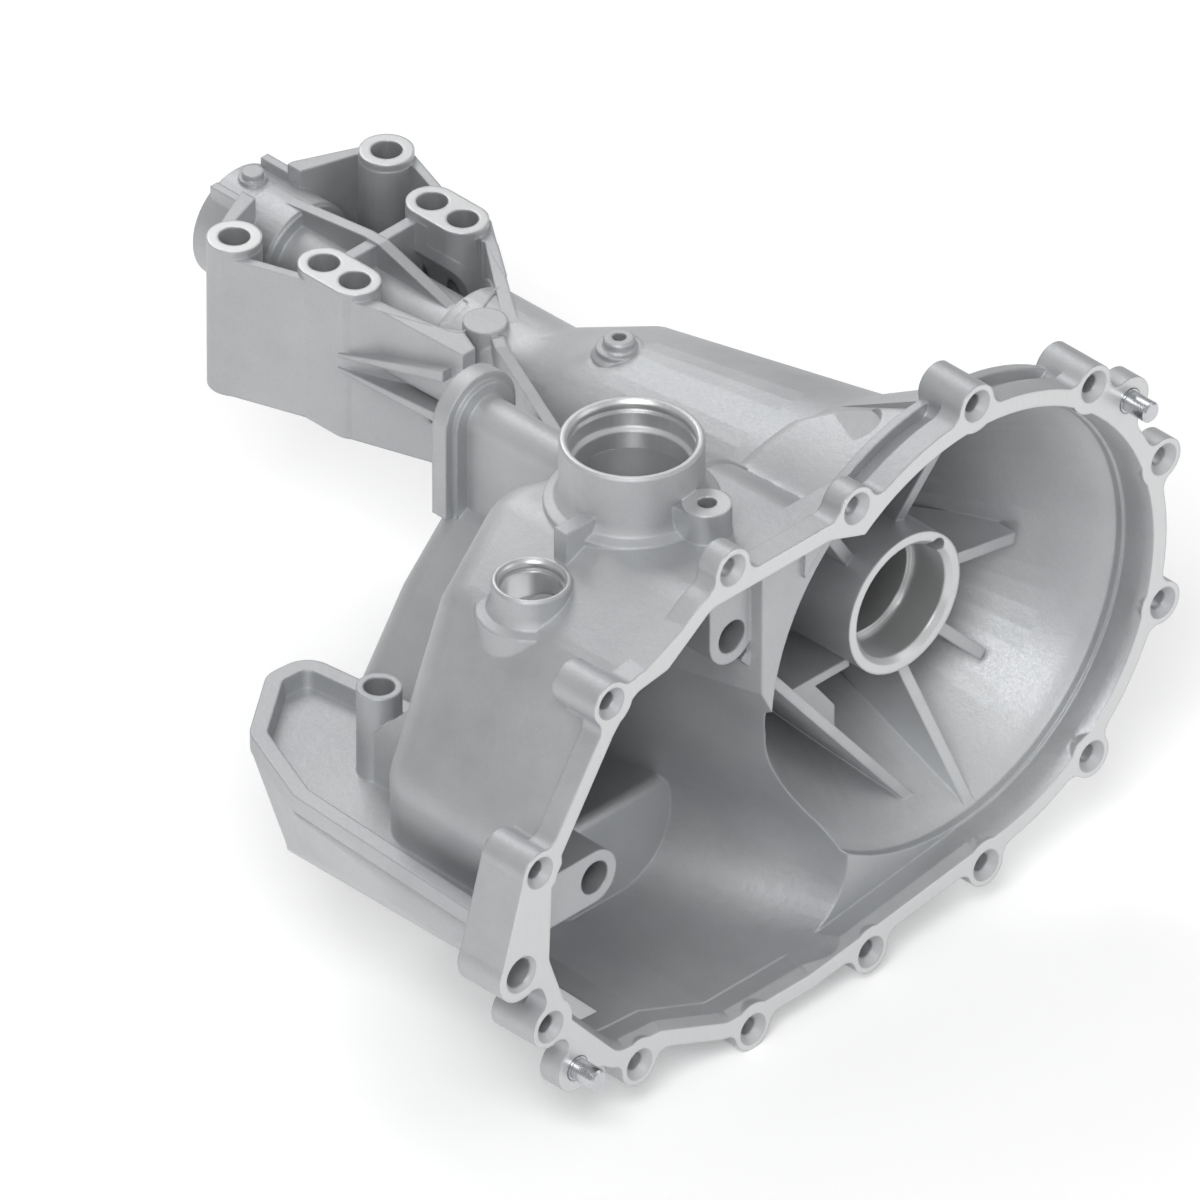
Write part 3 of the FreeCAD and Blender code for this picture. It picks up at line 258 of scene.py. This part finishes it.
def from_above(a, b, level):
    """Places a prism drawn in X and Y and raised along Z."""
    return (a, b, level)


def from_side(a, b, level):
    """Places a prism drawn in X and Z and raised along Y."""
    return (a, level, b)


def from_front(a, b, level):
    """Places a prism drawn in Y and Z and raised along X."""
    return (level, a, b)


def prism(name, outline, low, high, place=from_above):
    """An outline raised between two levels."""
    ends = [[place(a, b, level) for a, b in outline] for level in (low, high)]
    return bar(name, *ends)


def circle(a, b, radius):
    """Corners of a round outline."""
    turns = [2 * math.pi * step / ROUND_STEPS for step in range(ROUND_STEPS)]
    return [(a + radius * math.cos(turn), b + radius * math.sin(turn)) for turn in turns]


def combine(base, tools, operation):
    """Cut the tools from the base, or join them to it, and drop the tools."""
    for tool in tools:
        step = base.modifiers.new(tool.name, "BOOLEAN")
        step.object = tool
        step.solver = "EXACT"
        step.operation = operation
        view = bpy.context.evaluated_depsgraph_get()
        changed = bpy.data.meshes.new_from_object(base.evaluated_get(view))
        base.modifiers.clear()
        base.data = changed
        bpy.data.objects.remove(tool)
    return base


def shaft_rod(name, radius, rear, front):
    """A straight rod on the shaft."""
    return prism(name, circle(0, 0, radius), rear, front, from_front)


def pipe(name, outer, rear, front):
    """A pipe on the shaft, with the bore of the thin tube."""
    wall = shaft_rod(name, outer, rear, front)
    bore = shaft_rod(name + "_bore", TUBE_BORE, rear - BORE_PAST_END, front + BORE_PAST_END)
    return combine(wall, [bore], "DIFFERENCE")


def kept_round(name, x, y, radius):
    """Room for a round boss that stays."""
    return prism(name, circle(x, y, radius + KEPT_FILM), KEPT_LOW, KEPT_TOP)


def kept_neck(name):
    """Room for the neck, up to its rear end."""
    return shaft_rod(name, NECK_RADIUS + KEPT_FILM, NECK_END_X, KEPT_FRONT_X)


def kept_pads(side):
    """Room for the three pads of one side, and for the link of the two that are joined."""
    kept = [kept_round("kept_pad", x, side * y, radius) for x, y, radius in (SINGLE_PAD, REAR_PAD, FRONT_PAD)]
    rear_x, y, radius = REAR_PAD
    front_x = FRONT_PAD[0]
    reach = radius + KEPT_FILM
    link = [(rear_x, side * y - reach), (front_x, side * y - reach),
            (front_x, side * y + reach), (rear_x, side * y + reach)]
    kept.append(prism("kept_link", link, KEPT_LOW, KEPT_TOP))
    return kept


def tail_space():
    """The open space between the walls of the tail mount, less what stands in it."""
    space = prism("tail_space", INSIDE, POCKET_FLOOR_Z, CUT_TOP)
    combine(space, [prism("rear_gap", REAR_GAP, 0, CUT_TOP)], "UNION")
    kept = [kept_neck("kept_neck"), shaft_rod("kept_tail", TAIL_RADIUS + KEPT_FILM, KEPT_REAR_X, TAIL_STEP_X)]
    for side in (-1, 1):
        kept += kept_pads(side)
    kept.append(kept_round("kept_disc", *DISC))
    return combine(space, kept, "DIFFERENCE")


def tail_corner():
    """The corner outside the slanted right wall of the tail mount, less the neck."""
    corner = prism("tail_corner", RIGHT_CORNER, CUT_LOW, CUT_TOP)
    return combine(corner, [kept_neck("neck_in_corner")], "DIFFERENCE")


def tail_walls():
    """Slanted walls of the tail mount, a film below its rim."""
    top = RIM_Z - KEPT_FILM
    return [prism("right_wall", RIGHT_WALL, RIGHT_WALL_FOOT_Z, top),
            prism("left_wall", LEFT_WALL, LEFT_WALL_FOOT_Z, top)]


def tail_tube():
    """Thin tube with a shoulder at the rear end and one at the neck."""
    return [pipe("thin_tube", TUBE_RADIUS, TAIL_STEP_X - TUBE_OVERLAP, NECK_END_X + TUBE_OVERLAP),
            pipe("tail_shoulder", TAIL_RADIUS - SHOULDER_INSET,
                 TAIL_STEP_X - SHOULDER_LENGTH, TAIL_STEP_X + SHOULDER_OVERLAP),
            pipe("neck_shoulder", NECK_RADIUS - SHOULDER_INSET,
                 NECK_END_X - SHOULDER_OVERLAP, NECK_END_X + SHOULDER_LENGTH)]


def rib_bore(name):
    """What the tube's bore takes from the crossed ribs."""
    return shaft_rod(name, TUBE_BORE + BORE_CLEARANCE, TUBE_CUT_REAR_X, KEPT_FRONT_X)


def crossed_ribs():
    """Rib along the tube and rib across it, open round the bore and the pads' holes."""
    along_tube = prism("spine", SPINE, -RIB_HALF, RIB_HALF, from_side)
    combine(along_tube, [rib_bore("spine_bore")], "DIFFERENCE")
    rear, front = CROSS_X - RIB_HALF, CROSS_X + RIB_HALF
    outline = [(rear, -ARM_REACH), (front, -ARM_REACH), (front, ARM_REACH), (rear, ARM_REACH)]
    across = prism("arms", outline, 0, RIM_Z - ARM_DROP)
    x, y, _ = REAR_PAD
    holes = [prism("arm_hole", circle(x, side * y, PAD_HOLE_REACH), CUT_LOW, CUT_TOP) for side in (1, -1)]
    combine(across, [rib_bore("arms_bore"), *holes], "DIFFERENCE")
    return [along_tube, across]


def rear_fittings():
    """Two clips and a stepped nipple on the rear end."""
    made = []
    for side in (-1, 1):
        inner, outer = (side * y for y in CLIP_Y)
        clip = [(CLIP_X[0], inner), (CLIP_X[0], outer), (CLIP_X[1], outer), (CLIP_X[1], inner)]
        made.append(prism("tail_clip", clip, *CLIP_Z))
    for radius, low, high in NIPPLE_STEPS:
        made.append(prism("nipple", circle(NIPPLE_X, 0, radius), low, high))
    return made


def tail_additions():
    """All that is joined to the opened tail mount."""
    wall_ribs = [bar("side_rib", *SIDE_RIB), bar("lower_rib", *LOWER_RIB)]
    return tail_walls() + tail_tube() + crossed_ribs() + wall_ribs + rear_fittings()


def along(points, value):
    """A value read from a line of points."""
    for (a0, b0), (a1, b1) in zip(points, points[1:]):
        if min(a0, a1) <= value <= max(a0, a1):
            return b0 + (b1 - b0) * (value - a0) / (a1 - a0)
    return points[-1][1]


def round_height(radius, y):
    """Height of a round skin above the shaft, or next to nothing beside it."""
    return math.sqrt(max(radius * radius - y * y, LEAST_SQUARE))


def shoulder_height(x, y):
    """Height of the drum's rounded shoulder, up to its curved rear edge and down behind it."""
    crest = along(CREST, x)
    ahead = x - along(REAR_EDGE, y)
    if ahead < 0:
        crest -= BULGE_ROLL - REAR_SLOPE * ahead
    elif ahead < BULGE_ROLL:
        crest -= BULGE_ROLL - math.sqrt(BULGE_ROLL ** 2 - (BULGE_ROLL - ahead) ** 2)
    return round_height(max(crest, 0), y)


def drum_skin_height(x, y):
    """Height of drum and tunnel as the solids have it."""
    return round_height(along(DRUM_SKIN, x), y)


def new_skin_height(x, y, roof):
    """Height of the skin from the flat roof over a rounded valley to the shoulder."""
    roof_side = roof - VALLEY_BEND * (y - BULGE_LEFT) ** 2
    if x < ROOF_REAR_X:
        roof_side -= (ROOF_REAR_X - x) ** 2 * ROOF_REAR_FALL
    drum_side = shoulder_height(x, y)
    high = max(roof_side, drum_side)
    both = math.exp((roof_side - high) / VALLEY_BLEND) + math.exp((drum_side - high) / VALLEY_BLEND)
    return high + math.log(both) * VALLEY_BLEND * VALLEY_FILL


def height_block(name, front, low, high):
    """A closed block over the reshaped patch, between two height functions."""
    xs = [BULGE_REAR + BULGE_STEP * i for i in range(int((front - BULGE_REAR) / BULGE_STEP) + 1)]
    ys = [BULGE_LEFT + BULGE_STEP * i for i in range(int((BULGE_RIGHT - BULGE_LEFT) / BULGE_STEP) + 1)]
    points = [(x, y, height(x, y)) for height in (high, low) for y in ys for x in xs]
    across, rows, half = len(xs), len(ys), len(points) // 2
    faces = []
    for row in range(rows - 1):
        for column in range(across - 1):
            at = row * across + column
            quad = (at, at + 1, at + across + 1, at + across)
            faces += [quad, tuple(half + corner for corner in reversed(quad))]
    ring = (list(range(across)) + [i * across + across - 1 for i in range(1, rows)]
            + [(rows - 1) * across + i for i in range(across - 2, -1, -1)]
            + [i * across for i in range(rows - 2, 0, -1)])
    faces += [(a, half + a, half + b, b) for a, b in zip(ring, ring[1:] + ring[:1])]
    return add_mesh(name, points, faces)


def roof_reader(made):
    """A function that reads the roof's height along X, just outside the reshaped patch."""
    work = bmesh.new()
    work.from_mesh(made.data)
    tree = BVHTree.FromBMesh(work)
    work.free()
    levels = {}

    def roof(x):
        if x not in levels:
            above = Vector((min(x, ROOF_PROBE_X), BULGE_LEFT - 1, ROOF_PROBE_Z)) * MM
            levels[x] = tree.ray_cast(above, Vector((0, 0, -1)))[0].z / MM
        return levels[x]

    return roof


def reshape_shoulder(made):
    """Raise the drum's shoulder, with a valley to the roof and a recess on top."""
    roof = roof_reader(made)

    def cut_floor(x, y):
        return max(new_skin_height(x, y, roof(x)) - SKIN_FILM, drum_skin_height(x, y) + SKIN_FILM)

    def sky(x, y):
        return BULGE_SKY

    def skin_foot(x, y):
        return drum_skin_height(x, y) - SKIN_DEPTH

    def skin_top(x, y):
        return max(new_skin_height(x, y, roof(x)), drum_skin_height(x, y) - SKIN_SINK)

    combine(made, [height_block("above_roof", BULGE_CUT_FRONT, cut_floor, sky)], "DIFFERENCE")
    combine(made, [height_block("roof_skin", BULGE_FRONT, skin_foot, skin_top)], "UNION")
    combine(made, [prism("shoulder_recess", circle(*RECESS), RECESS_FLOOR_Z, BULGE_SKY)], "DIFFERENCE")


def casting():
    """The casting with its open tail mount and round shoulder, as one skin that stands for its node."""
    mesh = frame["nodes"]["housing_casting"].data.copy()
    work = bmesh.new()
    work.from_mesh(mesh)
    bmesh.ops.remove_doubles(work, verts=work.verts, dist=MESH_MERGE)
    work.to_mesh(mesh)
    work.free()
    made = bpy.data.objects.new("casting", mesh)
    bpy.context.scene.collection.objects.link(made)
    combine(made, [tail_space(), tail_corner()], "DIFFERENCE")
    combine(made, tail_additions(), "UNION")
    reshape_shoulder(made)
    return made


def smooth(piece):
    """Faces with many corners are flat and shade flat; round ones shade smoothly up to hard edges."""
    work = bmesh.new()
    work.from_mesh(piece.data)
    bmesh.ops.remove_doubles(work, verts=work.verts, dist=MERGE)
    bmesh.ops.dissolve_limit(work, angle_limit=FLAT_ANGLE, verts=work.verts, edges=work.edges)
    for face in work.faces:
        face.smooth = len(face.verts) <= ROUND_FACE_CORNERS
    for edge in work.edges:
        edge.smooth = len(edge.link_faces) == 2 and edge.calc_face_angle() < SHARP_ANGLE
    work.to_mesh(piece.data)
    work.free()
    piece.data.validate()
    weighted = piece.modifiers.new("weighted", "WEIGHTED_NORMAL")
    weighted.keep_sharp = True


def material(name):
    """A new node material with its main shader, ready for links."""
    made = bpy.data.materials.new(name)
    made.use_nodes = True
    tree = made.node_tree
    return made, tree, tree.nodes["Principled BSDF"]


class Graph:
    """Short calls that add and link shader nodes."""

    def __init__(self, tree):
        self.tree = tree

    def add(self, kind, inputs=(), **settings):
        """A new node with its settings, inputs fed with values or links."""
        node = self.tree.nodes.new(kind)
        for key, value in settings.items():
            setattr(node, key, value)
        for socket, value in dict(inputs).items():
            self.feed(node.inputs[socket], value)
        return node

    def feed(self, socket, value):
        """Link a socket into another, or set its value."""
        if isinstance(value, bpy.types.NodeSocket):
            self.tree.links.new(value, socket)
        else:
            socket.default_value = value

    def math(self, operation, *values):
        """Result of a sum on values or sockets."""
        return self.add("ShaderNodeMath", enumerate(values), operation=operation).outputs[0]

    def noise(self, place, scale, detail=3.0, roughness=0.55):
        """Soft noise between 0 and 1."""
        inputs = {"Vector": place, "Scale": scale, "Detail": detail, "Roughness": roughness}
        return self.add("ShaderNodeTexNoise", inputs).outputs["Fac"]

    def stretched(self, place, scales):
        """The place, scaled along each axis."""
        return self.add("ShaderNodeMapping", {"Vector": place, "Scale": scales}).outputs[0]

    def ramp(self, value, low, high, to_low=0.0, to_high=1.0):
        """The value mapped from one range to another and held at its ends."""
        inputs = {"Value": value, "From Min": low, "From Max": high, "To Min": to_low, "To Max": to_high}
        return self.add("ShaderNodeMapRange", inputs).outputs[0]

    def mix(self, factor, first, second):
        """Blend of two colours."""
        node = self.add("ShaderNodeMix", data_type="RGBA")
        for socket, value in zip((node.inputs[0], node.inputs[6], node.inputs[7]), (factor, first, second)):
            self.feed(socket, value)
        return node.outputs[2]

    def blend(self, factor, first, second):
        """Blend of two numbers."""
        node = self.add("ShaderNodeMix", data_type="FLOAT")
        for socket, value in zip((node.inputs[0], node.inputs[2], node.inputs[3]), (factor, first, second)):
            self.feed(socket, value)
        return node.outputs[0]

    def near(self, value, target, tolerance):
        """1 where the value is within the tolerance of the target."""
        return self.math("COMPARE", value, target, tolerance)

    def both(self, first, second):
        """1 where both masks are 1."""
        return self.math("MULTIPLY", first, second)

    def distance(self, a, a0, b, b0):
        """Distance from a line along the third axis."""
        da = self.math("SUBTRACT", a, a0)
        db = self.math("SUBTRACT", b, b0)
        squares = self.math("ADD", self.math("MULTIPLY", da, da), self.math("MULTIPLY", db, db))
        return self.math("SQRT", squares)


def machined_mask(graph, place, normal):
    """1 on faces and bores that a cutter has finished, 0 on the cast skin."""
    x, y, z = place[0], place[1], place[2]
    looks_front = graph.math("GREATER_THAN", normal[0], SQUARE_ON)
    looks_up = graph.math("GREATER_THAN", normal[2], SQUARE_ON)
    spots = [graph.both(looks_front, graph.near(x, 0.0, FACE_TOLERANCE))]

    from_shaft = graph.distance(y, 0.0, z, 0.0)
    hub_face = graph.both(looks_front, graph.near(x, HUB_MOUTH, FACE_TOLERANCE))
    spots.append(graph.both(hub_face, graph.math("LESS_THAN", from_shaft, HUB_RADIUS)))
    in_hub = graph.math("LESS_THAN", from_shaft, HUB_BORE_REACH)
    spots.append(graph.both(in_hub, graph.near(x, HUB_BORE_MIDDLE, HUB_BORE_HALF)))

    pads = graph.both(looks_up, graph.near(z, PAD_TOP, FACE_TOLERANCE))
    spots.append(graph.both(pads, graph.math("LESS_THAN", x, PAD_FRONT)))

    for x0, y0, reach, top in (BREATHER, SENSOR, CLAMP):
        inside = graph.math("LESS_THAN", graph.distance(x, x0, y, y0), reach)
        spots.append(graph.both(inside, graph.both(looks_up, graph.near(z, top, FACE_TOLERANCE))))
    for x0, y0, reach, top in (BREATHER, SENSOR):
        inside = graph.math("LESS_THAN", graph.distance(x, x0, y, y0), reach - COLLAR_WALL)
        spots.append(graph.both(inside, graph.near(z, top - COLLAR_BORE_MIDDLE, COLLAR_BORE_HALF)))

    mask = spots[0]
    for spot in spots[1:]:
        mask = graph.math("MAXIMUM", mask, spot)
    return mask


def cast_aluminium():
    """Sand-like cast skin with faint flow stains, and bright cutter-finished faces."""
    made, tree, shader = material("cast_aluminium")
    graph = Graph(tree)
    place = graph.add("ShaderNodeTexCoord").outputs["Object"]
    axes = graph.add("ShaderNodeSeparateXYZ", {"Vector": place}).outputs
    true_normal = graph.add("ShaderNodeNewGeometry").outputs["True Normal"]
    mask = machined_mask(graph, axes, graph.add("ShaderNodeSeparateXYZ", {"Vector": true_normal}).outputs)

    cloud = graph.noise(place, 9.0, detail=5.0, roughness=0.6)
    grain = graph.noise(place, 900.0, detail=2.0)
    pebble = graph.noise(place, 260.0)
    speck = graph.noise(place, 2600.0, detail=1.0)
    cutter = graph.noise(graph.stretched(place, (1500.0, 1500.0, 40.0)), 1.0, detail=2.0, roughness=0.5)

    skin = graph.mix(graph.ramp(cloud, 0.32, 0.7), SKIN_DARK, SKIN_PALE)
    skin = graph.mix(graph.ramp(speck, 0.58, 0.72, 0.0, 0.35), skin, SKIN_SPECK)
    bright = graph.mix(cutter, CUT_DARK, CUT_PALE)
    graph.feed(shader.inputs["Base Color"], graph.mix(mask, skin, bright))
    shader.inputs["Metallic"].default_value = 0.75

    rough_skin = graph.ramp(graph.math("ADD", grain, cloud), 0.6, 1.4, 0.46, 0.66)
    rough_cut = graph.ramp(cutter, 0.3, 0.7, 0.3, 0.4)
    graph.feed(shader.inputs["Roughness"], graph.blend(mask, rough_skin, rough_cut))

    height = graph.math("ADD", graph.math("MULTIPLY", grain, 0.35), graph.math("MULTIPLY", pebble, 0.65))
    height = graph.blend(mask, height, graph.math("MULTIPLY", cutter, 0.05))
    soft_edge = graph.add("ShaderNodeBevel", {"Radius": 0.0016}, samples=4).outputs[0]
    bump = graph.add("ShaderNodeBump", {"Height": height, "Strength": 0.55, "Distance": 0.00035,
                                        "Normal": soft_edge}).outputs[0]
    graph.feed(shader.inputs["Normal"], bump)
    return made


def pin_steel():
    """Ground steel with fine rings round the pin."""
    made, tree, shader = material("pin_steel")
    graph = Graph(tree)
    place = graph.add("ShaderNodeTexCoord").outputs["Object"]
    rings = graph.noise(graph.stretched(place, (2600.0, 60.0, 60.0)), 1.0, detail=2.0)
    graph.feed(shader.inputs["Base Color"], graph.mix(rings, STEEL_DARK, STEEL_PALE))
    shader.inputs["Metallic"].default_value = 1.0
    graph.feed(shader.inputs["Roughness"], graph.ramp(rings, 0.3, 0.7, 0.2, 0.32))
    bump = graph.add("ShaderNodeBump", {"Height": rings, "Strength": 0.2, "Distance": 0.0001}).outputs[0]
    graph.feed(shader.inputs["Normal"], bump)
    return made


def finish_nodes():
    """Give each piece its finish."""
    skin = casting()
    smooth(skin)
    skin.data.materials.clear()
    skin.data.materials.append(cast_aluminium())
    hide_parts("housing_casting")
    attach(skin, "root")
    steel = pin_steel()
    for name in ("upper_dowel_pin", "lower_dowel_pin"):
        node = frame["nodes"][name]
        node.data.materials.clear()
        node.data.materials.append(steel)


def floor_white():
    """Matt white that camera and gloss see as plain white, with the object's shadow kept."""
    made, tree, shader = material("floor_white")
    graph = Graph(tree)
    place = graph.add("ShaderNodeTexCoord").outputs["Object"]
    darker = [0.99 * part for part in FLOOR_WHITE[:3]] + [1]
    graph.feed(shader.inputs["Base Color"], graph.mix(graph.noise(place, 4.0), FLOOR_WHITE, darker))
    shader.inputs["Roughness"].default_value = 0.9
    shader.inputs["Specular IOR Level"].default_value = 0.0
    shader.inputs["Emission Color"].default_value = (1, 1, 1, 1)
    path = graph.add("ShaderNodeLightPath")
    seen = graph.math("MAXIMUM", path.outputs["Is Camera Ray"], path.outputs["Is Glossy Ray"])
    graph.feed(shader.inputs["Emission Strength"], graph.math("MULTIPLY", seen, FLOOR_GLOW))
    return made


def floor():
    """Pale floor under the part."""
    low = cad_box[0]
    mesh = bpy.data.meshes.new("floor")
    mesh.from_pydata([(sx * FLOOR_HALF, sy * FLOOR_HALF, low[2])
                      for sx, sy in ((-1, -1), (1, -1), (1, 1), (-1, 1))], [], [(0, 1, 2, 3)])
    made = bpy.data.objects.new("floor", mesh)
    bpy.context.scene.collection.objects.link(made)
    mesh.materials.append(floor_white())


def world():
    """Even white surroundings."""
    sky = bpy.data.worlds.new("studio")
    bpy.context.scene.world = sky
    sky.use_nodes = True
    graph = Graph(sky.node_tree)
    path = graph.add("ShaderNodeLightPath")
    seen = graph.math("MAXIMUM", path.outputs["Is Camera Ray"], path.outputs["Is Transmission Ray"])
    back = sky.node_tree.nodes["Background"]
    back.inputs["Color"].default_value = (1, 1, 1, 1)
    strength = graph.math("ADD", graph.math("MULTIPLY", seen, SKY_SEEN), SKY_LIGHT)
    graph.feed(back.inputs["Strength"], strength)


def lamp(name, place, size, power):
    """Square soft lamp that looks at the part."""
    data = bpy.data.lights.new(name, "AREA")
    data.size = size
    data.energy = power
    made = bpy.data.objects.new(name, data)
    bpy.context.scene.collection.objects.link(made)
    made.location = place
    made.rotation_euler = (Vector(LAMP_AIM) - Vector(place)).to_track_quat("-Z", "Y").to_euler()


def camera():
    """Camera at the photograph's angle and framing, so far away that it sees almost no perspective."""
    right = Vector((math.cos(AZIMUTH), math.sin(AZIMUTH), 0))
    look = Vector((-math.sin(AZIMUTH) * math.cos(ELEVATION), math.cos(AZIMUTH) * math.cos(ELEVATION),
                   -math.sin(ELEVATION)))
    up = right.cross(look)
    aim = right * AIM_RIGHT + up * AIM_UP
    data = bpy.data.cameras.new("camera")
    data.lens = LENS_MM
    data.sensor_width = SENSOR_MM
    data.clip_end = CLIP_END
    distance = PHOTO_WIDTH * LENS_MM / SENSOR_MM
    made = bpy.data.objects.new("camera", data)
    bpy.context.scene.collection.objects.link(made)
    turn = Matrix((right, up, -look)).transposed().to_4x4()
    made.matrix_world = Matrix.Translation(aim - look * distance) @ turn
    bpy.context.scene.camera = made


camera()
floor()
world()
for lamp_name, (lamp_place, lamp_size, lamp_power) in LAMPS.items():
    lamp(lamp_name, lamp_place, lamp_size, lamp_power)
finish_nodes()
bpy.context.scene.view_settings.view_transform = "Standard"
